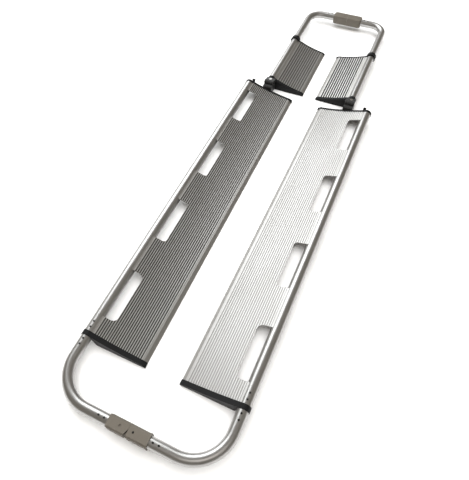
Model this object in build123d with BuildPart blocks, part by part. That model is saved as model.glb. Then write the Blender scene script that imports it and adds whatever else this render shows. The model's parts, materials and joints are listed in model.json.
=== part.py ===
from build123d import *
import os
from math import atan2, degrees

os.makedirs("parts", exist_ok=True)

# A scoop stretcher, in millimetres. +Y runs from the head end to the foot end, X = 0 is the gap between
# the two halves, and Z = 0 is the ground. The right half (+X) is drawn and the left one is its mirror image.

# Frame layout
loop_reach = 817  # centre line of the head and foot cross tubes, from the middle of the stretcher
tube_height = 32  # centre line of every frame tube
deck_near = -665  # head end of the side rails and decks
deck_far = 324  # foot end of the side rails and decks
leg_near = 381  # head end of the leg decks
leg_far = 614  # foot end of the leg decks

# Tubes
rail_x = 200
rail_radius = 14
rail_bore = 11.4
head_tube_radius = 13.8
head_bend = 90.5
foot_tube_x = 139
foot_tube_radius = 12.1
foot_tube_bore = 10
foot_bend = 47.7
slide_height = 12.6
slide_tube_radius = 9.5
slide_tube_bore = 7.5
slide_tube_near = -200
running_gap = 0.06

# Deck section: a dished top over a shallow box, then a single skin up to the rail
skin = 2.2
dish_outer = (192, 43)
dish_middle = (123.5, 21.9)
dish_inner = (54, 9.5)
deck_tip = (45.5, 2.6)
box_side = 152.5  # outer side of the hollow box under the dish
leg_dish_outer = (130, 38)
leg_dish_middle = (80, 19.8)
leg_dish_inner = (30, 8.5)
leg_tip = (22.5, 2.6)
leg_box_side = 127.5
rib_height = 1.1

# Hand holes
hole_count = 4
hole_pitch = 254
hole_length = 141
hole_inner = 156
first_hole_y = -548

# End caps
head_cap_depth = 13
far_cap_depth = 8
leg_cap_depth = 10
leg_far_cap_depth = 6
cap_rise = 1.3  # how far a cap stands above the deck's skin, just over its ribs
plug_depth = 12  # how far a cap's plug reaches into its deck
plug_gap = 0.3
collar_radius = 16
collar_depth = 18

# Fold hinge
fold_y = 352
fold_z = 40
knuckle_radius = 8
knuckle_room = 8.4
block_inner = 123
block_outer = 153
tongue_inner = 131.3
tongue_outer = 144.7
side_gap = 0.3
fork_top = 36
knuckle_top = 43.5
block_foot = 2
hinge_pin_radius = 4

# Couplings
coupling_half_width = 15.5
coupling_half_height = 15
flange_half = 16.5
foot_half_width = 16.5
coupling_length = 50
foot_coupling_length = 52
seam_gap = 0.2
pivot_x = 12
pivot_radius = 2.5
button_x = -13


def section_at(y):
    """The plane of a cross section: its x is X, its y is Z, and extrude(amount=-d) runs d towards the foot."""
    return Plane.XZ.offset(-y)


def save(name, part):
    part.label = name
    export_step(part, f"parts/{name}.step")


def save_pair(name, part):
    """Write the right-hand piece and its mirror image."""
    save(f"right_{name}", part)
    with BuildPart() as other:
        mirror(part, about=Plane.YZ)
    save(f"left_{name}", other.part)


def raised(point, lift):
    return (point[0], point[1] + lift)


def dish_room(dish, lift, floor, inner, outer):
    """The area under a dish curve, between two heights and two sides."""
    with BuildSketch() as room:
        with BuildLine():
            top = ThreePointArc(*[raised(p, lift) for p in dish])
            Polyline(top @ 1, (dish[2][0], floor), (dish[0][0], floor), top @ 0)
        make_face()
        with Locations(((inner + outer) / 2, 0)):
            Rectangle(outer - inner, 200, mode=Mode.INTERSECT)
    return room.sketch


def rib_row(dish, first, last, count):
    """Lengthwise ribs on a dish curve, each a low trapezoid that points to the curve's centre."""
    curve = ThreePointArc(*dish)
    centre = curve.arc_center
    reach = curve.radius

    def angle_at(x):
        fall = (reach**2 - (x - centre.X) ** 2) ** 0.5
        return degrees(atan2(-fall, x - centre.X))

    start = angle_at(first)
    step = (angle_at(last) - start) / (count - 1)
    with BuildSketch() as ribs:
        with Locations((centre.X, centre.Y)):
            with PolarLocations(reach, count, start, step * count):
                Polygon((0.4, -1.9), (-rib_height, -1.1), (-rib_height, 1.1), (0.4, 1.9), align=None)
    return ribs.sketch


def deck_section(dish, tip, side, rail, rail_size, ribs):
    """A deck's outline: dished skin, box floor and pointed inner edge, cut to fit against its tube."""
    with BuildSketch() as section:
        with BuildLine():
            top = ThreePointArc(*dish)
            Polyline(top @ 1, tip, (tip[0] + 4.5, 0), (dish[0][0], 0), top @ 0)
        make_face()
        add(dish_room(dish, -skin, -1, side, dish[0][0] + 1), mode=Mode.SUBTRACT)
        add(ribs)
        with Locations(rail):
            Circle(rail_size, mode=Mode.SUBTRACT)
    return section.sketch


def cap_outline(dish, tip, corner, shoulder, rail, rail_size):
    """A cap's outline: the deck's section a little larger, with its deep outer corner and the tube's round."""
    with BuildSketch() as outline:
        with BuildLine():
            top = ThreePointArc(*[raised(p, cap_rise) for p in dish])
            Polyline(top @ 1, (tip[0] - 1.5, tip[1] + 2.4), (tip[0] + 0.5, 0), corner, shoulder, top @ 0)
        make_face()
        fillet(outline.vertices().sort_by_distance((*corner, 0))[0], 6)
        fillet(outline.vertices().sort_by(Axis.X)[:2], 2)
        with Locations(rail):
            Circle(rail_size)
    return outline.sketch


def coil(radius, wire, height, turns, base, direction):
    """A compression spring that runs from its base point along a direction."""
    with BuildPart() as spring:
        with BuildLine():
            Helix((height - wire) / turns, height - wire, radius, center=base, direction=direction)
        line = spring.pending_edges[0]
        with BuildSketch(Plane(origin=line @ 0, z_dir=line % 0)):
            Circle(wire / 2)
        sweep(path=line)
    return spring.part


# Cross sections that several pieces share
dish = (dish_outer, dish_middle, dish_inner)
leg_dish = (leg_dish_outer, leg_dish_middle, leg_dish_inner)
rail_centre = (rail_x, tube_height)
foot_tube_centre = (foot_tube_x, tube_height)
slide_centre = (foot_tube_x, slide_height)
deck_outline = deck_section(dish, deck_tip, box_side, rail_centre, rail_radius, rib_row(dish, 60, 184, 23))
leg_ribs = rib_row(leg_dish, 35, 118, 12)
leg_outline = deck_section(
    leg_dish, leg_tip, leg_box_side, foot_tube_centre, foot_tube_radius, leg_ribs
)
deck_cap_outline = cap_outline(dish, deck_tip, (180, 0), (187, 24), rail_centre, rail_radius + 1)
leg_cap_outline = cap_outline(
    leg_dish, leg_tip, (150, 0), (151.5, tube_height), foot_tube_centre, foot_tube_radius + 1.5
)
leg_end_outline = cap_outline(
    leg_dish, leg_tip, (129, 0), (130, 26), foot_tube_centre, foot_tube_radius + 1.5
)
web_inner = 124.5
web_outer = 127.5
box_wall = 2
leg_room_outer = 124
deck_plug = dish_room(dish, -skin - plug_gap, skin + plug_gap, 61, web_inner - 0.5)
leg_plug = dish_room(leg_dish, -skin - plug_gap, skin + plug_gap, 37, leg_room_outer - 4)
rivet_y = [deck_near + 25, deck_near + 10, deck_near - 21.5, deck_near - 36.5]
rivet_shank = 1.6
rivet_hole = 12  # deep enough to drill one wall of a tube
coupling_rivets = [coupling_length + 9, coupling_length + 23]
hole_y = [first_hole_y + i * hole_pitch for i in range(hole_count)]


# Side rail: a round tube along the outer edge, drilled for its rivets
with BuildPart() as side_rail:
    with BuildSketch(section_at(deck_near)):
        with Locations(rail_centre):
            Circle(rail_radius)
            Circle(rail_bore, mode=Mode.SUBTRACT)
    extrude(amount=deck_near - deck_far)
    with Locations(*[(rail_x, y, tube_height + rail_radius) for y in rivet_y[:2]]):
        Cylinder(rivet_shank, rivet_hole, mode=Mode.SUBTRACT)
save_pair("side_rail", side_rail.part)

# Deck panel: a ribbed, dished extrusion with a hollow box, a channel for the slide tube and hand holes
with BuildPart() as deck_panel:
    with BuildSketch(section_at(deck_near)):
        add(deck_outline)
        add(dish_room(dish, -skin, skin, 60, web_inner), mode=Mode.SUBTRACT)
        add(dish_room(dish, -skin, skin, web_outer, box_side - box_wall), mode=Mode.SUBTRACT)
    extrude(amount=deck_near - deck_far)
    for i, y in enumerate(hole_y):
        with BuildSketch():
            with Locations((hole_inner + 30, y)):
                RectangleRounded(60, hole_length, 15 if i == 0 else 9)
        extrude(amount=100, mode=Mode.SUBTRACT)
save_pair("deck_panel", deck_panel.part)

# Head cap: closes the deck's head end, with a plug in the box and a hole for the tube joiner
with BuildPart() as head_cap:
    with BuildSketch(section_at(deck_near - head_cap_depth)):
        add(deck_cap_outline)
        with Locations(rail_centre):
            Circle(rail_bore, mode=Mode.SUBTRACT)
    extrude(amount=-head_cap_depth)
    with BuildSketch(section_at(deck_near)):
        add(deck_plug)
    extrude(amount=-plug_depth)
save_pair("head_cap", head_cap.part)

# Length lock: an L-shaped slide in the far cap. Its shoe grips the slide tube and its tab is pulled outwards
lock_near = deck_far + 3.9
lock_thick = 4
lock_travel = 5
lock_gap = 0.3
bar_low = slide_height - 3
bar_high = slide_height + 3
stem_inner = 163
stem_outer = 169
arm_low = 24
arm_high = 31
arm_outer = 194
tab_inner = 185
tab_side = [(331.5, 24), (336, 24), (346.5, 41), (341, 47), (333.7, 31), (331.5, 31)]  # in Y and Z
spring_end = 180.3
with BuildPart() as lock_slide:
    with BuildSketch(section_at(lock_near)):
        with Locations((foot_tube_x, bar_low)):
            Rectangle(stem_outer - foot_tube_x, bar_high - bar_low, align=Align.MIN)
        with Locations((stem_inner, bar_low)):
            Rectangle(stem_outer - stem_inner, arm_high - bar_low, align=Align.MIN)
        with Locations((stem_inner, arm_low)):
            Rectangle(arm_outer - stem_inner, arm_high - arm_low, align=Align.MIN)
        with Locations(slide_centre):
            Circle(slide_tube_radius + running_gap, mode=Mode.SUBTRACT)
            Rectangle(12, 12, mode=Mode.SUBTRACT)
    extrude(amount=-lock_thick)
    with BuildSketch(Plane.YZ.offset(tab_inner)) as tab:
        with BuildLine():
            Polyline(*tab_side, close=True)
        make_face()
        fillet(tab.vertices().group_by(Axis.X)[-2:], 3)
    extrude(amount=arm_outer - tab_inner)
save_pair("lock_slide", lock_slide.part)

# Far cap: the same outline at the foot end, with the slide tube's bore and the lock's recess
cover_screws = [(160.3, 24), (203.2, 29)]
screw_shank = 1.3
with BuildPart() as far_cap:
    with BuildSketch(section_at(deck_far)):
        add(deck_cap_outline)
        with Locations(slide_centre):
            Circle(slide_tube_radius + running_gap, mode=Mode.SUBTRACT)
    extrude(amount=-far_cap_depth)
    with BuildSketch(section_at(deck_far - plug_depth)):
        add(deck_plug)
        with Locations(rail_centre):
            Circle(rail_bore - 0.1)
    extrude(amount=-plug_depth)
    with BuildSketch(section_at(lock_near - lock_gap)):
        with Locations((foot_tube_x, bar_low - lock_gap)):
            Rectangle(spring_end - foot_tube_x, bar_high - bar_low + 2 * lock_gap, align=Align.MIN)
        with Locations((stem_inner - lock_gap, bar_low)):
            Rectangle(
                stem_outer - stem_inner + lock_travel + 2 * lock_gap,
                arm_high + lock_gap - bar_low,
                align=Align.MIN,
            )
        with Locations((stem_inner - lock_gap, arm_low - lock_gap)):
            Rectangle(
                arm_outer - stem_inner + lock_travel + 2 * lock_gap,
                arm_high - arm_low + 2 * lock_gap,
                align=Align.MIN,
            )
    extrude(amount=-far_cap_depth, mode=Mode.SUBTRACT)
    with BuildSketch(section_at(deck_far + 2)):
        with Locations(*cover_screws):
            Circle(screw_shank)
    extrude(amount=-far_cap_depth, mode=Mode.SUBTRACT)
save_pair("far_cap", far_cap.part)

# Lock cover: a thin plate that keeps the lock slide in its recess
cover_thick = 1.5
cover_near = deck_far + far_cap_depth
cover_corners = [(157, 5.5), (181, 5.5), (187, 21), (206, 21), (206, 37), (180, 37), (157, 30.5)]
with BuildPart() as lock_cover:
    with BuildSketch(section_at(cover_near)) as plate:
        with BuildLine():
            Polyline(*cover_corners, close=True)
        make_face()
        fillet(plate.vertices(), 1.5)
        with Locations((tab_inner - 0.4, arm_low - 0.5)):
            Rectangle(arm_outer - tab_inner + lock_travel + 0.8, 10.5, align=Align.MIN, mode=Mode.SUBTRACT)
        with Locations(*cover_screws):
            Circle(screw_shank, mode=Mode.SUBTRACT)
    extrude(amount=-cover_thick)
save_pair("lock_cover", lock_cover.part)

screw_head_radius = 2.4
screw_head = 1.2
screw_length = 7
with BuildPart() as cover_screw_set:
    with BuildSketch(section_at(cover_near + cover_thick)):
        with Locations(*cover_screws):
            Circle(screw_head_radius)
    extrude(amount=-screw_head)
    with BuildSketch(section_at(cover_near + cover_thick)):
        with Locations(*cover_screws):
            Circle(screw_shank - 0.02)
    extrude(amount=screw_length)
save_pair("lock_cover_screws", cover_screw_set.part)

spring_base = (stem_outer + 0.5, lock_near + lock_thick / 2, slide_height)
lock_spring = coil(1.4, 0.6, spring_end - stem_outer - 0.8, 6, spring_base, (1, 0, 0))
save_pair("lock_spring", lock_spring)

# Tube joiner: a short tube inside the rail and the head loop, riveted to both
joiner_reach = 48
with BuildPart() as head_joiner:
    with BuildSketch(section_at(deck_near - head_cap_depth - joiner_reach)):
        with Locations(rail_centre):
            Circle(rail_bore - 0.1)
            Circle(rail_bore - 3, mode=Mode.SUBTRACT)
    extrude(amount=-(2 * joiner_reach + head_cap_depth))
    with Locations(*[(rail_x, y, tube_height + rail_bore) for y in rivet_y]):
        Cylinder(rivet_shank, rivet_hole, mode=Mode.SUBTRACT)
save_pair("head_joiner", head_joiner.part)

# Head loop: a J-shaped tube from the rail round to the head coupling
with BuildPart() as head_loop:
    with BuildLine(Plane.XY.offset(tube_height)) as head_route:
        FilletPolyline(
            (rail_x, deck_near - head_cap_depth),
            (rail_x, -loop_reach),
            (coupling_length, -loop_reach),
            radius=head_bend,
        )
    with BuildSketch(section_at(deck_near - head_cap_depth)):
        with Locations(rail_centre):
            Circle(head_tube_radius)
            Circle(rail_bore, mode=Mode.SUBTRACT)
    sweep(path=head_route.line)
    with Locations(*[(rail_x, y, tube_height + head_tube_radius) for y in rivet_y[2:]]):
        Cylinder(rivet_shank, rivet_hole, mode=Mode.SUBTRACT)
    with Locations(*[(x, -loop_reach, tube_height + head_tube_radius) for x in coupling_rivets]):
        Cylinder(rivet_shank, rivet_hole, mode=Mode.SUBTRACT)
save_pair("head_loop", head_loop.part)


def rivet_set(spots):
    """Domed rivets that stand on a tube's crown, each spot being the crown point under a head."""
    with BuildPart() as rivets:
        with Locations(*spots):
            Cylinder(2.5, 0.9, align=(Align.CENTER, Align.CENTER, Align.MIN))
        fillet(rivets.edges().group_by(Axis.Z)[-1], 0.5)
        with Locations(*spots):
            Cylinder(rivet_shank - 0.02, 5.5, align=(Align.CENTER, Align.CENTER, Align.MAX))
    return rivets.part


crown = [(rail_x, y, tube_height + rail_radius) for y in rivet_y[:2]]
crown_loop = [(rail_x, y, tube_height + head_tube_radius) for y in rivet_y[2:]]
with BuildPart() as rail_rivets:
    add(rivet_set(crown))
    add(rivet_set(crown_loop))
save_pair("rail_rivets", rail_rivets.part)
coupling_spots = [(x, -loop_reach, tube_height + head_tube_radius) for x in coupling_rivets]
save_pair("head_coupling_rivets", rivet_set(coupling_spots))

# Head coupling: a tongue on the left half turns on an upright pin in the right half's clevis
tongue_half_thick = 5
tongue_half_width = 10.5
spigot_length = 36
pivot = (pivot_x, -loop_reach)
seat_low = tube_height - coupling_half_height
seat_high = tube_height + coupling_half_height


def coupling_block(inner, outer, half_width, y):
    """A coupling half's block between two X planes, as a sketch seen from above."""
    with BuildSketch(Plane.XY.offset(seat_low)) as plan:
        with Locations(((inner + outer) / 2, y)):
            Rectangle(abs(outer - inner), 2 * half_width)
    return plan.sketch


def spigot(x, y, radius, towards):
    """A round spigot that leaves a coupling half at x and fills the end of its tube."""
    with BuildPart() as stub:
        with BuildSketch(Plane(origin=(x, y, tube_height), z_dir=(towards, 0, 0))):
            Circle(radius)
        extrude(amount=spigot_length)
        rivets_at = [x + towards * 9, x + towards * 23]
        with Locations(*[(r, y, tube_height + radius) for r in rivets_at]):
            Cylinder(rivet_shank, rivet_hole, mode=Mode.SUBTRACT)
    return stub.part


left_block = coupling_block(-coupling_length, -seam_gap, coupling_half_width, -loop_reach)
left_spigot = spigot(-coupling_length, -loop_reach, rail_bore - 0.1, -1)
with BuildPart() as head_coupling_left:
    add(left_block)
    extrude(amount=2 * coupling_half_height)
    chamfer(head_coupling_left.edges().filter_by(Axis.X), 4)
    lead_in = head_coupling_left.faces().sort_by(Axis.X)[0]
    chamfer(lead_in.edges(), 1.2, 6, reference=lead_in)
    # outer corner of the seam cut back, so that the right half has room to turn
    with BuildSketch(Plane.XY):
        with Locations((0, -loop_reach)):
            Polygon((1, 4), (-5.6, -11.5), (-8.4, -17), (1, -17), align=None)
    extrude(amount=60, mode=Mode.SUBTRACT)
    with BuildSketch(Plane.XY.offset(tube_height - tongue_half_thick)):
        with BuildLine():
            Line((-10, tongue_half_width - loop_reach), (pivot_x, tongue_half_width - loop_reach))
            RadiusArc(
                (pivot_x, tongue_half_width - loop_reach),
                (pivot_x, -tongue_half_width - loop_reach),
                tongue_half_width,
            )
            Polyline(
                (pivot_x, -tongue_half_width - loop_reach),
                (-10, -tongue_half_width - loop_reach),
                (-10, tongue_half_width - loop_reach),
            )
        make_face()
    extrude(amount=2 * tongue_half_thick)
    with Locations((*pivot, tube_height)):
        Cylinder(pivot_radius + 0.02, 60, mode=Mode.SUBTRACT)
    # plain round recess in the top
    with Locations((-20, -loop_reach, seat_high)):
        Cylinder(3, 5, mode=Mode.SUBTRACT)
    add(left_spigot)
save("head_coupling_left", head_coupling_left.part)

right_block = coupling_block(seam_gap, coupling_length - 3, coupling_half_width, -loop_reach)
right_spigot = spigot(coupling_length, -loop_reach, rail_bore - 0.1, 1)
tongue_room = 0.35
swing = 20  # degrees that the right half opens by
with BuildPart() as head_coupling_right:
    add(right_block)
    extrude(amount=2 * coupling_half_height)
    chamfer(head_coupling_right.edges().filter_by(Axis.X), 4)
    with BuildSketch(Plane.YZ.offset(coupling_length - 3)):
        with Locations((-loop_reach, tube_height)):
            RectangleRounded(2 * flange_half, 2 * (flange_half - 0.5), 8)
    extrude(amount=3)
    with BuildSketch(Plane.XY.offset(tube_height - tongue_half_thick - tongue_room)):
        with Locations(pivot):
            Circle(tongue_half_width + tongue_room)
            # the tongue's way through the clevis, closed and swung open
            for turn in (0, swing + 2):
                Rectangle(
                    40,
                    2 * (tongue_half_width + tongue_room),
                    rotation=turn,
                    align=(Align.MAX, Align.CENTER),
                )
    extrude(amount=2 * (tongue_half_thick + tongue_room), mode=Mode.SUBTRACT)
    with Locations((*pivot, tube_height)):
        Cylinder(pivot_radius + running_gap, 60, mode=Mode.SUBTRACT)
    add(right_spigot)
save("head_coupling_right", head_coupling_right.part)

with BuildPart() as head_pivot_pin:
    with BuildSketch(Plane.XY.offset(seat_low + 0.2)):
        with Locations(pivot):
            Circle(pivot_radius)
    extrude(amount=2 * coupling_half_height)
    chamfer(head_pivot_pin.edges().group_by(Axis.Z)[-1], 0.5)
save("head_pivot_pin", head_pivot_pin.part)

# Slide tube: telescopes in the deck's channel, on a bush at its inner end and the far cap's bore
bush_length = 30
fork_near = deck_far + far_cap_depth + side_gap
cross_pin_spot = (foot_tube_x, 300, slide_height)
cross_pin_radius = 2
with BuildPart() as slide_tube:
    with BuildSketch(section_at(slide_tube_near)):
        with Locations(slide_centre):
            Circle(slide_tube_radius)
            Circle(slide_tube_bore, mode=Mode.SUBTRACT)
    extrude(amount=slide_tube_near - fork_near)
    with Locations(cross_pin_spot):
        Cylinder(cross_pin_radius, 3 * slide_tube_radius, mode=Mode.SUBTRACT)
save_pair("slide_tube", slide_tube.part)

with BuildPart() as slide_bush:
    with BuildSketch(section_at(slide_tube_near)):
        with Locations(slide_centre):
            Circle(slide_tube_radius + 0.75)
            Circle(slide_tube_radius + 0.02, mode=Mode.SUBTRACT)
    extrude(amount=-bush_length)
save_pair("slide_bush", slide_bush.part)

# Hinge fork: plugged into the slide tube, with two ears on the fold axis
with BuildPart() as hinge_fork:
    with BuildSketch(Plane.YZ.offset(block_inner)):
        with Locations((fork_near, block_foot)):
            Rectangle(fold_y - side_gap / 2 - fork_near, fork_top - block_foot, align=Align.MIN)
        with Locations((fold_y, fold_z)):
            Circle(knuckle_radius)
    extrude(amount=block_outer - block_inner)
    with BuildSketch(Plane.YZ.offset(tongue_inner - side_gap)):
        with Locations((fold_y, fold_z)):
            Circle(knuckle_room)
    extrude(amount=tongue_outer - tongue_inner + 2 * side_gap, mode=Mode.SUBTRACT)
    with BuildSketch(Plane.YZ.offset(block_inner)):
        with Locations((fold_y, fold_z)):
            Circle(hinge_pin_radius + 0.02)
    extrude(amount=block_outer - block_inner, mode=Mode.SUBTRACT)
    fillet(hinge_fork.edges().filter_by(Axis.Y).group_by(Axis.Z)[0], 2)
    # room for the leg cap's rim when the leg is folded
    chamfer(hinge_fork.edges().filter_by(Axis.X).group_by(Axis.Y)[0][-1], 3.5, 3)
    with BuildSketch(section_at(fork_near)):
        with Locations(slide_centre):
            Circle(slide_tube_bore - 0.05)
    extrude(amount=50)
    with Locations(cross_pin_spot):
        Cylinder(cross_pin_radius, 3 * slide_tube_radius, mode=Mode.SUBTRACT)
save_pair("hinge_fork", hinge_fork.part)

with BuildPart() as fork_cross_pin:
    with Locations(cross_pin_spot):
        Cylinder(cross_pin_radius - 0.02, 2 * slide_tube_radius - 0.6)
save_pair("fork_cross_pin", fork_cross_pin.part)

# Hinge pin, with a low round head on its outer end
pin_head_radius = 6
pin_head = 1.6
with BuildPart() as hinge_pin:
    with BuildSketch(Plane.YZ.offset(block_inner)):
        with Locations((fold_y, fold_z)):
            Circle(hinge_pin_radius)
    extrude(amount=block_outer - block_inner)
    with BuildSketch(Plane.YZ.offset(block_outer)):
        with Locations((fold_y, fold_z)):
            Circle(pin_head_radius)
    extrude(amount=pin_head)
    fillet(hinge_pin.edges().group_by(Axis.X)[-1], 1)
save_pair("hinge_pin", hinge_pin.part)

# Hinge knuckle: a tongue between the fork's ears, a block on the leg cap and a plug in the foot loop
cap_face = leg_near - leg_cap_depth
knuckle_screw = (foot_tube_x, cap_face - 5.2)
knuckle_plug = 40
counterbore_radius = 4.6
counterbore = 1.8
bolt_radius = 2
bolt_depth = 10
with BuildPart() as hinge_knuckle:
    with BuildSketch(Plane.YZ.offset(block_inner)):
        with Locations((fold_y + side_gap / 2, block_foot)):
            Rectangle(cap_face - fold_y - side_gap / 2, knuckle_top - block_foot, align=Align.MIN)
    extrude(amount=block_outer - block_inner)
    with BuildSketch(Plane.YZ.offset(block_inner)):
        with Locations((fold_y, fold_z)):
            Circle(knuckle_room)
    extrude(amount=block_outer - block_inner, mode=Mode.SUBTRACT)
    fillet(hinge_knuckle.edges().filter_by(Axis.Y).group_by(Axis.Z)[0], 2)
    with BuildSketch(Plane.YZ.offset(tongue_inner)):
        with Locations((fold_y, fold_z)):
            Circle(knuckle_radius)
        with Locations((fold_y, fold_z - knuckle_radius)):
            Rectangle(12, knuckle_radius + knuckle_top - fold_z, align=Align.MIN)
    extrude(amount=tongue_outer - tongue_inner)
    with BuildSketch(Plane.YZ.offset(block_inner)):
        with Locations((fold_y, fold_z)):
            Circle(hinge_pin_radius + running_gap)
    extrude(amount=block_outer - block_inner, mode=Mode.SUBTRACT)
    with BuildSketch(section_at(cap_face)):
        with Locations(foot_tube_centre):
            Circle(foot_tube_bore - 0.1)
    extrude(amount=-knuckle_plug)
    with BuildSketch(Plane.XY.offset(knuckle_top - counterbore)):
        with Locations(knuckle_screw):
            Circle(counterbore_radius)
    extrude(amount=counterbore, mode=Mode.SUBTRACT)
    with BuildSketch(Plane.XY.offset(knuckle_top - bolt_depth)):
        with Locations(knuckle_screw):
            Circle(bolt_radius)
    extrude(amount=bolt_depth, mode=Mode.SUBTRACT)
save_pair("hinge_knuckle", hinge_knuckle.part)

with BuildPart() as knuckle_screw_part:
    with BuildSketch(Plane.XY.offset(knuckle_top - counterbore)):
        with Locations(knuckle_screw):
            Circle(counterbore_radius - 0.05)
    extrude(amount=counterbore - 0.2)
    with BuildSketch(Plane.XY.offset(knuckle_top - counterbore)):
        with Locations(knuckle_screw):
            Circle(bolt_radius - 0.02)
    extrude(amount=counterbore - bolt_depth)
    with BuildSketch(Plane.XY.offset(knuckle_top - counterbore + 0.4)):
        with Locations(knuckle_screw):
            RegularPolygon(1.6, 6)
    extrude(amount=counterbore, mode=Mode.SUBTRACT)
save_pair("knuckle_screw", knuckle_screw_part.part)

# Leg deck: the same ribbed section, smaller, against the foot loop's straight side
with BuildPart() as leg_deck:
    with BuildSketch(section_at(leg_near)):
        add(leg_outline)
        add(dish_room(leg_dish, -skin, skin, 36, leg_room_outer), mode=Mode.SUBTRACT)
    extrude(amount=leg_near - leg_far)
save_pair("leg_deck", leg_deck.part)

with BuildPart() as leg_near_cap:
    with BuildSketch(section_at(cap_face)):
        add(leg_cap_outline)
        with Locations(foot_tube_centre):
            Circle(foot_tube_radius + 0.05, mode=Mode.SUBTRACT)
    extrude(amount=-leg_cap_depth)
    with BuildSketch(section_at(leg_near)):
        add(leg_plug)
    extrude(amount=-plug_depth)
save_pair("leg_near_cap", leg_near_cap.part)

with BuildPart() as leg_far_cap:
    with BuildSketch(section_at(leg_far)):
        add(leg_end_outline)
    extrude(amount=-leg_far_cap_depth)
    with BuildSketch(section_at(leg_far)):
        with Locations(foot_tube_centre):
            Circle(collar_radius)
    extrude(amount=-collar_depth)
    fillet(leg_far_cap.faces().sort_by(Axis.Y)[-1].outer_wire().edges(), 3)
    with BuildSketch(section_at(leg_far)):
        with Locations(foot_tube_centre):
            Circle(foot_tube_radius + 0.05)
    extrude(amount=-collar_depth, mode=Mode.SUBTRACT)
    with BuildSketch(section_at(leg_far)):
        add(leg_plug)
    extrude(amount=plug_depth)
save_pair("leg_far_cap", leg_far_cap.part)

# Foot loop: a J-shaped tube along the leg deck and round to the foot coupling
foot_rivets = [foot_coupling_length + 9, foot_coupling_length + 23]
foot_crown = [(x, loop_reach, tube_height + foot_tube_radius) for x in foot_rivets]
with BuildPart() as foot_loop:
    with BuildLine(Plane.XY.offset(tube_height)) as foot_route:
        FilletPolyline(
            (foot_tube_x, cap_face),
            (foot_tube_x, loop_reach),
            (foot_coupling_length, loop_reach),
            radius=foot_bend,
        )
    with BuildSketch(section_at(cap_face)):
        with Locations(foot_tube_centre):
            Circle(foot_tube_radius)
            Circle(foot_tube_bore, mode=Mode.SUBTRACT)
    sweep(path=foot_route.line)
    with Locations(*foot_crown):
        Cylinder(rivet_shank, rivet_hole, mode=Mode.SUBTRACT)
save_pair("foot_loop", foot_loop.part)
save_pair("foot_coupling_rivets", rivet_set(foot_crown))

# Foot coupling: the right half's keyhole tongue is held in the left half's socket by a sprung plunger
latch_low = 26
latch_high = 32
latch_half_width = 10
latch_reach = 24
latch_gap = 0.4
plunger_radius = 4.5
stem_radius = 2.3
button_radius = 5
button_seat = 35.5
button_under = 45
button_centre = (button_x, loop_reach)
foot_left_block = coupling_block(-foot_coupling_length, -seam_gap, foot_half_width, loop_reach)
foot_left_spigot = spigot(-foot_coupling_length, loop_reach, foot_tube_bore - 0.1, -1)
with BuildPart() as foot_coupling_left:
    add(foot_left_block)
    extrude(amount=2 * coupling_half_height)
    fillet(foot_coupling_left.edges().filter_by(Axis.Z).group_by(Axis.X)[0], 9)
    fillet(foot_coupling_left.faces().sort_by(Axis.Z)[-1].edges().filter_by(Axis.X), 3)
    fillet(foot_coupling_left.faces().sort_by(Axis.Z)[0].edges().filter_by(Axis.X), 3)
    with BuildSketch(Plane.XY.offset(latch_low - latch_gap)):
        with Locations((0, loop_reach)):
            Rectangle(
                latch_reach + latch_gap,
                2 * (latch_half_width + latch_gap),
                align=(Align.MAX, Align.CENTER),
            )
    extrude(amount=latch_high - latch_low + 2 * latch_gap, mode=Mode.SUBTRACT)
    with BuildSketch(Plane.XY.offset(seat_low)):
        with Locations(button_centre):
            Circle(plunger_radius + running_gap)
    extrude(amount=latch_high + 0.9 - seat_low, mode=Mode.SUBTRACT)
    with BuildSketch(Plane.XY.offset(seat_low)):
        with Locations(button_centre):
            Circle(stem_radius + running_gap)
    extrude(amount=40, mode=Mode.SUBTRACT)
    with BuildSketch(Plane.XY.offset(button_seat)):
        with Locations(button_centre):
            Circle(button_radius + running_gap)
    extrude(amount=20, mode=Mode.SUBTRACT)
    add(foot_left_spigot)
save("foot_coupling_left", foot_coupling_left.part)

foot_right_block = coupling_block(seam_gap, foot_coupling_length, foot_half_width, loop_reach)
foot_right_spigot = spigot(foot_coupling_length, loop_reach, foot_tube_bore - 0.1, 1)
with BuildPart() as foot_coupling_right:
    add(foot_right_block)
    extrude(amount=2 * coupling_half_height)
    fillet(foot_coupling_right.edges().filter_by(Axis.Z).group_by(Axis.X)[-1], 9)
    fillet(foot_coupling_right.faces().sort_by(Axis.Z)[-1].edges().filter_by(Axis.X), 3)
    fillet(foot_coupling_right.faces().sort_by(Axis.Z)[0].edges().filter_by(Axis.X), 3)
    with BuildSketch(Plane.XY.offset(latch_low)) as latch:
        with Locations((1, loop_reach)):
            Rectangle(latch_reach + 1, 2 * latch_half_width, align=(Align.MAX, Align.CENTER))
        fillet(latch.vertices().group_by(Axis.X)[0], 4)
        with Locations(button_centre):
            Circle(plunger_radius + 0.35, mode=Mode.SUBTRACT)
            Rectangle(
                20, 2 * (stem_radius + 0.4), align=(Align.MAX, Align.CENTER), mode=Mode.SUBTRACT
            )
    extrude(amount=latch_high - latch_low)
    add(foot_right_spigot)
save("foot_coupling_right", foot_coupling_right.part)

with BuildPart() as foot_latch_plunger:
    with BuildSketch(Plane.XY.offset(latch_low - 0.6)):
        with Locations(button_centre):
            Circle(plunger_radius)
    extrude(amount=latch_high - latch_low + 1.2)
    with BuildSketch(Plane.XY.offset(latch_high + 0.6)):
        with Locations(button_centre):
            Circle(stem_radius)
    extrude(amount=button_under - latch_high - 0.6)
save("foot_latch_plunger", foot_latch_plunger.part)

with BuildPart() as foot_release_button:
    with BuildSketch(Plane.XY.offset(button_under)):
        with Locations(button_centre):
            Circle(button_radius)
    extrude(amount=3)
    fillet(foot_release_button.edges().group_by(Axis.Z)[-1], 0.8)
save("foot_release_button", foot_release_button.part)

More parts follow.
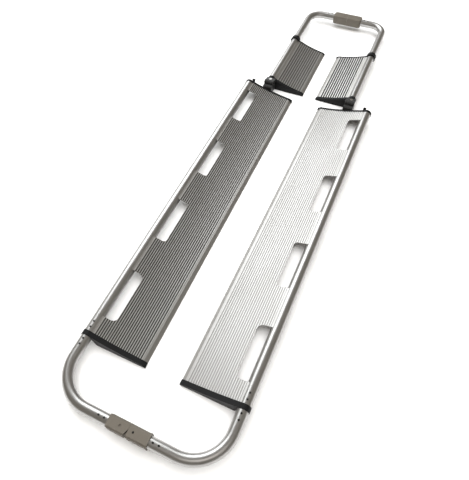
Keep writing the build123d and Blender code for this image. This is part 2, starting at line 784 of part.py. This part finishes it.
spring_foot = (*button_centre, button_seat + 0.5)
button_spring = coil(3.6, 0.6, button_under - button_seat - 0.2, 3, spring_foot, (0, 0, 1))
save("foot_button_spring", button_spring)
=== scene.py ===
import json
from math import cos, radians, sin

import bmesh
import bpy
from mathutils import Matrix, Vector


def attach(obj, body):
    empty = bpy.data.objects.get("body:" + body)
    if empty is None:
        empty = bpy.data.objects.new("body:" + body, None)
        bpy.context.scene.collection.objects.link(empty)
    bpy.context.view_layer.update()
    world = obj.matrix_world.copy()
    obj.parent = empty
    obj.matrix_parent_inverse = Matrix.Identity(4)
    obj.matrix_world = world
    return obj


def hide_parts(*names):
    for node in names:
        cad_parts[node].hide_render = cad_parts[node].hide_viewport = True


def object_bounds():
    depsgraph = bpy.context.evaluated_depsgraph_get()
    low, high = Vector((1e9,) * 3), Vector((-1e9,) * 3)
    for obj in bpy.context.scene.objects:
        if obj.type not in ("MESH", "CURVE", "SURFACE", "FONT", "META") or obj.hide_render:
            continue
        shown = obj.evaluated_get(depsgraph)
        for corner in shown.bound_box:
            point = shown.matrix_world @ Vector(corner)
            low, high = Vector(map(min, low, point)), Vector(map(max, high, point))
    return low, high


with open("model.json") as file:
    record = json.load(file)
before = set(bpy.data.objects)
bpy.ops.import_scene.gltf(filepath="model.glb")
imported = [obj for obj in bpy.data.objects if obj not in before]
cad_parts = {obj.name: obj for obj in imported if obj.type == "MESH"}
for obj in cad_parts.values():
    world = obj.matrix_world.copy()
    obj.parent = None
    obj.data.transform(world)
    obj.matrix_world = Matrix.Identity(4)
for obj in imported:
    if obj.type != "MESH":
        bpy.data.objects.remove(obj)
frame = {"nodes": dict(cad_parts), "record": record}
cad_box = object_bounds()

# A scoop stretcher, in metres. +Y runs from the head end to the foot end and Z = 0 is the ground.
SIDES = {"left": -1, "right": 1}

# The dished tops of the right main deck and leg deck: three points of each arc in X and Z,
# and the X of the first and last rib
deck_dish = ((0.192, 0.043), (0.1235, 0.0219), (0.054, 0.0095))
leg_dish = ((0.130, 0.038), (0.080, 0.0198), (0.030, 0.0085))
deck_ribs = (0.060, 0.184)
leg_ribs = (0.035, 0.118)
rib_height = 0.0011
rib_edge = 0.0005

# How much painted shade darkens the grooves between the ribs and how much painted highlight brightens the
# rib tops, 0 to 1, set per side to match how the light falls on each side
deck_painted_shade_and_highlight = {"left": 0.9, "right": 0.12}
leg_painted_shade_and_highlight = {"left": 0.6, "right": 1.0}

# How wide the softened edges are
cap_softening = 0.0007
hinge_softening = 0.0005
coupling_softening = 0.0006

floor_gap = 0.0002


# Shader maths


class Value:
    """A shader socket that takes part in arithmetic: each operator adds a Math node."""

    def __init__(self, finish, socket):
        self.finish = finish
        self.socket = socket

    def math(self, operation, *values):
        return self.finish.node("ShaderNodeMath", {"operation": operation}, dict(enumerate(values)))

    def __add__(self, other):
        return self.math("ADD", self, other)

    def __sub__(self, other):
        return self.math("SUBTRACT", self, other)

    def __rsub__(self, other):
        return self.math("SUBTRACT", other, self)

    def __mul__(self, other):
        return self.math("MULTIPLY", self, other)

    def __pow__(self, other):
        return self.math("POWER", self, other)

    __radd__ = __add__
    __rmul__ = __mul__

    def between(self, low, high):
        """0 below low, 1 above high, and smooth between them. High may be the smaller one."""
        inputs = {"Value": self, "From Min": low, "From Max": high}
        return self.finish.node("ShaderNodeMapRange", {"interpolation_type": "SMOOTHSTEP"}, inputs)


class Finish:
    """One material, built from nodes."""

    def __init__(self, name):
        self.material = bpy.data.materials.new(name)
        self.material.use_nodes = True
        self.tree = self.material.node_tree
        self.tree.nodes.clear()
        self.place = self.node("ShaderNodeTexCoord", out="Object")

    def node(self, kind, settings=None, inputs=None, out=0):
        """Any node: its settings first, then the values or links of its sockets."""
        made = self.tree.nodes.new(kind)
        for key, setting in (settings or {}).items():
            setattr(made, key, setting)
        for key, value in (inputs or {}).items():
            if isinstance(value, Value):
                self.tree.links.new(value.socket, made.inputs[key])
            else:
                made.inputs[key].default_value = value
        return Value(self, made.outputs[out])

    def along(self):
        """The X, Y and Z of the place on the piece."""
        return [self.node("ShaderNodeSeparateXYZ", inputs={0: self.place}, out=i) for i in range(3)]

    def stretched(self, scale):
        """The place on the piece, scaled by X, Y and Z."""
        return self.node("ShaderNodeMapping", inputs={"Vector": self.place, "Scale": scale})

    def noise(self, scale, detail=2.0, stretch=(1, 1, 1), roughness=0.5):
        """A cloudy pattern, 0 to 1, on the place scaled by stretch."""
        place = self.stretched(stretch) if stretch != (1, 1, 1) else self.place
        inputs = {"Vector": place, "Scale": scale, "Detail": detail, "Roughness": roughness}
        return self.node("ShaderNodeTexNoise", inputs=inputs)

    def mix(self, share, low, high):
        """A colour between two colours."""
        factor, first, second, mixed = 0, 6, 7, 2  # the node's colour sockets
        inputs = {factor: share, first: low, second: high}
        return self.node("ShaderNodeMix", {"data_type": "RGBA"}, inputs, mixed)

    def bump(self, height, distance):
        """The slope of a height pattern that is distance metres deep."""
        return self.node("ShaderNodeBump", inputs={"Height": height, "Distance": distance, "Strength": 1.0})

    def edge_wear(self, radius):
        """1 on edges and corners, 0 on open faces."""
        rounded = self.node("ShaderNodeBevel", {"samples": 6}, {"Radius": radius})
        flat = self.node("ShaderNodeNewGeometry", out="Normal")
        cosine = {"operation": "DOT_PRODUCT"}
        facing = self.node("ShaderNodeVectorMath", cosine, {0: rounded, 1: flat}, "Value")
        return facing.between(0.985, 0.85)

    def surface(self, colour, roughness, relief=None, metallic=0.0, specular=0.5):
        """The finished material."""
        inputs = {"Base Color": colour, "Roughness": roughness, "Metallic": metallic}
        inputs["Specular IOR Level"] = specular
        if relief:
            inputs["Normal"] = relief
        shader = self.node("ShaderNodeBsdfPrincipled", inputs=inputs)
        end = self.tree.nodes.new("ShaderNodeOutputMaterial")
        self.tree.links.new(shader.socket, end.inputs["Surface"])
        return self.material


def grey(value, warmth=0.0):
    """A grey that warmth turns towards tan, as linear red, green, blue and alpha."""
    return (value * (1 + warmth), value, value * (1 - 1.4 * warmth), 1)


def arc_of(points):
    """The centre and radius of the circle through three points."""
    (ax, ay), (bx, by), (cx, cy) = points
    spread = 2 * (ax * (by - cy) + bx * (cy - ay) + cx * (ay - by))
    a, b, c = ax**2 + ay**2, bx**2 + by**2, cx**2 + cy**2
    x = (a * (by - cy) + b * (cy - ay) + c * (ay - by)) / spread
    y = (a * (cx - bx) + b * (ax - cx) + c * (bx - ax)) / spread
    return x, y, ((ax - x) ** 2 + (ay - y) ** 2) ** 0.5


def ribbed_aluminium(name, side, dish, ribs, painted_shade_and_highlight):
    """Satin anodised extrusion: rib tops brightened partly by scuffs and partly by painted highlight,
    painted shade in the grooves, die lines along its length.
    """
    finish = Finish(name)
    x, _, z = finish.along()
    centre_x, centre_z, reach = arc_of(dish)
    off_x = x - side * centre_x
    off_z = z - centre_z
    height = reach - (off_x * off_x + off_z * off_z) ** 0.5
    rib = height.between(rib_height * 0.25, rib_height * 0.95)
    across = x * side
    first, last = ribs
    among_ribs = across.between(first - rib_edge, first) * across.between(last + rib_edge, last)
    groove = (1 - rib) * height.between(-0.0004, -0.0001) * among_ribs
    die_lines = finish.noise(1.0, 3.0, (1400, 6, 1400))
    haze = finish.noise(9.0, 3.0, (1, 0.35, 1))
    grain = finish.noise(2600.0, 2.0)
    scuffs = finish.noise(1.0, 4.0, (38, 420, 38)).between(0.62, 0.78)
    scuffs = scuffs * haze.between(0.45, 0.62) * rib
    plain = finish.mix(die_lines, grey(0.40, 0.02), grey(0.50, 0.015))
    clouded = finish.mix(haze.between(0.3, 0.75) * 0.3, plain, grey(0.34, 0.035))
    # Painted shade: the grooves between the ribs are darkened, more on the side set to the stronger contrast
    shaded_grooves = finish.mix(groove * painted_shade_and_highlight, clouded, grey(0.06, 0.04))
    # Rib tops brightened: partly real wear and scuffs, partly painted highlight that grows with the per-side
    # contrast
    worn = finish.mix(rib * (0.3 + 0.45 * painted_shade_and_highlight + 0.25 * scuffs), shaded_grooves, grey(0.72, 0.01))
    rough = 0.33 + 0.10 * die_lines + 0.08 * haze + 0.10 * scuffs + 0.10 * groove
    relief = finish.bump(die_lines * 0.6 + grain * 0.25 + scuffs * 0.5, 0.00003)
    return finish.surface(worn, rough, relief, metallic=0.95)


def drawn_tube(name, tint, low, high):
    """Satin anodised tube: a fine drawn grain, a cloudy haze and a few handling marks."""
    finish = Finish(name)
    lines = finish.noise(1.0, 3.0, (900, 12, 900))
    haze = finish.noise(14.0, 3.0)
    grain = finish.noise(2400.0, 2.0)
    marks = finish.noise(160.0, 5.0, roughness=0.65).between(0.63, 0.72)
    base = finish.mix(haze, grey(low, tint), grey(high, tint * 0.5))
    lined = finish.mix(lines * 0.35, base, grey(high * 1.05, tint * 0.3))
    marked = finish.mix(marks * 0.35, lined, grey(low * 0.7, tint))
    rough = 0.25 + 0.10 * haze + 0.06 * lines + 0.10 * marks
    relief = finish.bump(grain * 0.3 + lines * 0.4 + marks * -0.3, 0.00003)
    return finish.surface(marked, rough, relief, metallic=0.95)


def coated_casting(name):
    """Matte taupe-grey coating over a casting: fine orange peel, rubbed edges, faint stains."""
    finish = Finish(name)
    peel = finish.noise(900.0, 3.0)
    patches = finish.noise(55.0, 4.0)
    specks = finish.noise(1500.0, 1.0).between(0.66, 0.74)
    wear = finish.edge_wear(0.0009) * patches.between(0.35, 0.6)
    base = finish.mix(patches, grey(0.11, 0.14), grey(0.145, 0.12))
    speckled = finish.mix(specks * 0.35, base, grey(0.13, 0.05))
    worn = finish.mix(wear * 0.45, speckled, grey(0.36, 0.05))
    rough = 0.50 + 0.12 * patches - 0.12 * wear
    return finish.surface(worn, rough, finish.bump(peel, 0.00006), metallic=0.35)


def black_moulding(name, gloss=0.42, shade=0.009):
    """Black moulded plastic with a spark-eroded grain and slightly polished edges."""
    finish = Finish(name)
    grain = finish.noise(1700.0, 2.0)
    flow = finish.noise(30.0, 3.0)
    dust = finish.noise(420.0, 4.0).between(0.58, 0.75)
    wear = finish.edge_wear(0.0007)
    base = finish.mix(flow, grey(shade * 0.7, -0.03), grey(shade * 1.1, -0.02))
    dusty = finish.mix(dust * 0.12, base, grey(0.05, 0.03))
    worn = finish.mix(wear * 0.3, dusty, grey(0.045))
    rough = gloss + 0.14 * flow + 0.10 * dust - 0.10 * wear
    return finish.surface(worn, rough, finish.bump(grain, 0.00008), specular=0.15)


def powder_coat(name):
    """Dark grey powder coat on the hinge castings, chipped a little along the edges."""
    finish = Finish(name)
    peel = finish.noise(1100.0, 3.0)
    patches = finish.noise(90.0, 4.0)
    wear = finish.edge_wear(0.0008)
    chips = wear * patches.between(0.52, 0.62)
    base = finish.mix(patches, grey(0.020, -0.01), grey(0.036, 0.0))
    rubbed = finish.mix(wear * 0.5, base, grey(0.07))
    chipped = finish.mix(chips, rubbed, grey(0.42, 0.01))
    rough = 0.40 + 0.14 * patches - 0.08 * wear
    return finish.surface(chipped, rough, finish.bump(peel - chips * 0.5, 0.00007), metallic=0.2)


def bare_steel(name, low, high, rough=0.28):
    """Turned or drawn steel with a fine grain and faint darkening."""
    finish = Finish(name)
    grain = finish.noise(1800.0, 3.0)
    stain = finish.noise(140.0, 4.0)
    wear = finish.edge_wear(0.0004)
    base = finish.mix(stain, grey(low, 0.02), grey(high, 0.01))
    worn = finish.mix(wear * 0.4, base, grey(min(1.0, high * 1.3)))
    return finish.surface(worn, rough + 0.12 * stain, finish.bump(grain, 0.00002), metallic=1.0)


# Finishes, and the pieces that take them

tube_finish = drawn_tube("satin_tube", 0.02, 0.37, 0.48)
inner_finish = drawn_tube("plain_inner_tube", 0.0, 0.50, 0.62)
casting_finish = coated_casting("taupe_casting")
moulding_finish = black_moulding("black_moulding")
lock_finish = black_moulding("lock_tab_moulding", 0.34)
bush_finish = black_moulding("bush_moulding", 0.5, 0.02)
hinge_finish = powder_coat("hinge_powder_coat")
rivet_finish = bare_steel("dark_rivet", 0.035, 0.075, 0.35)
pin_finish = bare_steel("turned_pin", 0.42, 0.55)
screw_finish = bare_steel("bright_screw_steel", 0.62, 0.78, 0.16)
spring_finish = bare_steel("spring_wire", 0.30, 0.42)
deck_finish = {}
leg_finish = {}
for side, sign in SIDES.items():
    deck_name, leg_name = f"{side}_deck_extrusion", f"{side}_leg_extrusion"
    deck_finish[side] = ribbed_aluminium(deck_name, sign, deck_dish, deck_ribs, deck_painted_shade_and_highlight[side])
    leg_finish[side] = ribbed_aluminium(leg_name, sign, leg_dish, leg_ribs, leg_painted_shade_and_highlight[side])

slot_finish = {
    "tube_aluminium": tube_finish,
    "inner_aluminium": inner_finish,
    "black_plastic": moulding_finish,
    "lock_black": lock_finish,
    "hinge_grey": hinge_finish,
    "coupling_grey": casting_finish,
    "pin_steel": pin_finish,
    "bright_screw": screw_finish,
    "dark_fastener": rivet_finish,
    "spring_steel": spring_finish,
    "bush_plastic": bush_finish,
}
node_slot = {part["node"]: part["material_slot"] for part in frame["record"]["subparts"]}
node_body = {n: body for body, nodes in frame["record"]["behaviour"]["bodies"].items() for n in nodes}


def finish_of(node):
    """The material that a CAD node's slot asks for."""
    side = node.split("_")[0]
    if node_slot[node] == "deck_aluminium":
        return (leg_finish if "leg" in node else deck_finish)[side]
    return slot_finish[node_slot[node]]


for node, piece in frame["nodes"].items():
    piece.data.materials.clear()
    piece.data.materials.append(finish_of(node))


# Pieces with softened edges


def smooth(piece, angle):
    """Smooth shading, with creases past an angle and flat faces kept flat."""
    piece.data.shade_smooth()
    piece.data.set_sharp_from_angle(angle=radians(angle))
    weighted = piece.modifiers.new("flat_faces", "WEIGHTED_NORMAL")
    weighted.keep_sharp = True


def new_piece(name, shape, finish, body):
    """A mesh piece that rides on a body."""
    mesh = bpy.data.meshes.new(name)
    shape.to_mesh(mesh)
    shape.free()
    mesh.materials.append(finish)
    piece = bpy.data.objects.new(name, mesh)
    bpy.context.scene.collection.objects.link(piece)
    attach(piece, body)
    return piece


def softened(node, width, steps=3, crease=35):
    """A copy of a CAD node with its sharp edges rounded, which stands for the node."""
    shape = bmesh.new()
    shape.from_mesh(frame["nodes"][node].data)
    bmesh.ops.remove_doubles(shape, verts=shape.verts, dist=2e-6)
    bmesh.ops.dissolve_limit(shape, angle_limit=radians(0.4), verts=shape.verts, edges=shape.edges)
    sharp = [e for e in shape.edges if len(e.link_faces) == 2 and abs(e.calc_face_angle()) > radians(crease)]
    bmesh.ops.bevel(
        shape,
        geom=sharp,
        offset=width,
        offset_type="OFFSET",
        affect="EDGES",
        segments=steps,
        profile=0.5,
        material=-1,
        clamp_overlap=True,
    )
    piece = new_piece(f"{node}_soft", shape, finish_of(node), node_body[node])
    smooth(piece, 40)
    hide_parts(node)
    return piece


for side in SIDES:
    for part in ("head_cap", "far_cap", "leg_near_cap", "leg_far_cap"):
        softened(f"{side}_{part}", cap_softening)
    for part in ("hinge_fork", "hinge_knuckle", "lock_slide"):
        softened(f"{side}_{part}", hinge_softening)
    for end in ("head", "foot"):
        softened(f"{end}_coupling_{side}", coupling_softening)


# Floor, light and camera


def make_floor():
    """A wide pale floor just under the stretcher."""
    shape = bmesh.new()
    bmesh.ops.create_grid(shape, x_segments=1, y_segments=1, size=30)
    mesh = bpy.data.meshes.new("floor")
    shape.to_mesh(mesh)
    shape.free()
    finish = Finish("pale_floor")
    speckle = finish.noise(3.0, 2.0)
    mesh.materials.append(finish.surface(finish.mix(speckle, grey(0.93), grey(0.95)), 0.9))
    floor = bpy.data.objects.new("floor", mesh)
    bpy.context.scene.collection.objects.link(floor)
    floor.data.transform(Matrix.Translation((0, 0, cad_box[0][2] - floor_gap)))


def area_light(name, place, aim, size, power, colour=(1, 1, 1)):
    """A rectangular light at a place, turned to shine at aim."""
    lamp = bpy.data.lights.new(name, "AREA")
    lamp.shape = "RECTANGLE"
    lamp.size, lamp.size_y = size
    lamp.energy = power
    lamp.color = colour
    light = bpy.data.objects.new(name, lamp)
    light.location = place
    light.rotation_euler = (Vector(aim) - Vector(place)).to_track_quat("-Z", "Y").to_euler()
    bpy.context.scene.collection.objects.link(light)
    return light


def make_camera():
    """The viewpoint: above the head end, from the right, rolled a little."""
    place = (0.2790, -0.9371, 1.0866)
    azimuth, elevation, roll = radians(29.4), radians(55.1), radians(-4.5)
    back = Vector((sin(azimuth) * cos(elevation), -cos(azimuth) * cos(elevation), sin(elevation)))
    level = (-back).cross(Vector((0, 0, 1))).normalized()
    upright = level.cross(-back)
    across = cos(roll) * level + sin(roll) * upright
    up = cos(roll) * upright - sin(roll) * level
    lens = bpy.data.cameras.new("camera")
    lens.sensor_width = 36
    lens.lens = 35.8
    lens.shift_x = 0.069
    lens.shift_y = -0.016
    lens.clip_end = 100
    camera = bpy.data.objects.new("camera", lens)
    turn = Matrix((across, up, back)).transposed()
    camera.matrix_world = Matrix.Translation(place) @ turn.to_4x4()
    bpy.context.scene.collection.objects.link(camera)
    bpy.context.scene.camera = camera


def make_world():
    """Dim, slightly warm surroundings, which the metal mirrors where no light is."""
    world = bpy.data.worlds.new("studio")
    world.use_nodes = True
    world.node_tree.nodes["Background"].inputs["Color"].default_value = grey(0.22, 0.10)
    bpy.context.scene.world = world


make_world()
bpy.context.scene.view_settings.view_transform = "Standard"

# A window at the foot end on the left, a faint lamp over the head end, and a wash from above that
# brightens the floor and doesn't show as a highlight
area_light("window", (-2.45, 2.2, 2.9), (0, 0.1, 0), (3.8, 3.4), 160, (0.95, 0.98, 1.0))
area_light("ceiling", (0.9, -1.6, 3.0), (0, 0, 0), (2.2, 1.6), 14, (1.0, 0.97, 0.93))
wash = area_light("wash", (0.1, -0.1, 4.0), (0, 0, 0), (4, 4), 200)
wash.visible_glossy = False
make_floor()
make_camera()
